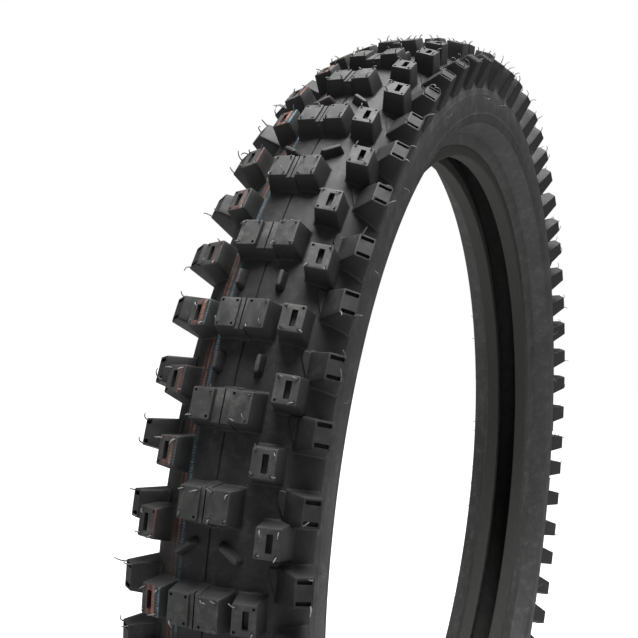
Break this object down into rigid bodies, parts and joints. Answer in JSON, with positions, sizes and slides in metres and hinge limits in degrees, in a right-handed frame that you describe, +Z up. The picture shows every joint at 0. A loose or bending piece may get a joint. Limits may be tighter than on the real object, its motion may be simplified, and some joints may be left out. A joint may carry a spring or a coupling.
{
  "type": "motorcycle tire",
  "caption": "Off-road knobbly motorcycle front tyre for a 21-inch rim, shown as its moulded rubber, body plies, breaker, liner, chafers and wire beads.",
  "frame": {"origin": "wheel centre: on the spin axis, midway between the beads", "axes": "+Y along the spin axis towards the right-hand sidewall, +Z up, the tyre standing on its tread at -Z"},
  "size_m": [0.692, 0.099, 0.692],
  "materials": {
    "tread_rubber": "matt moulded rubber, slightly greyer on the knob tops",
    "sidewall_rubber": "satin moulded rubber",
    "cushion_rubber": "matt uncovered compound",
    "nylon_cord": "rubber-dipped nylon cord fabric",
    "liner_rubber": "smooth moulded rubber with fine vent lines",
    "chafer_fabric": "close rubberised weave",
    "filler_rubber": "hard matt rubber",
    "bead_wire": "bronze-coated steel wire"
  },
  "bodies": {
    "root": {"tread": "tread_rubber", "undertread": "cushion_rubber", "breaker": "nylon_cord", "body_ply_outer": "nylon_cord", "body_ply_inner": "nylon_cord", "inner_liner": "liner_rubber", "sidewall_right": "sidewall_rubber", "sidewall_left": "sidewall_rubber", "chafer_right": "chafer_fabric", "chafer_left": "chafer_fabric", "bead_wrap_right": "nylon_cord", "bead_wrap_left": "nylon_cord", "bead_filler_right": "filler_rubber", "bead_filler_left": "filler_rubber", "bead_wire_tape_right_1": "bead_wire", "bead_wire_tape_right_2": "bead_wire", "bead_wire_tape_right_3": "bead_wire", "bead_wire_tape_left_1": "bead_wire", "bead_wire_tape_left_2": "bead_wire", "bead_wire_tape_left_3": "bead_wire"}
  },
  "joints": []
}
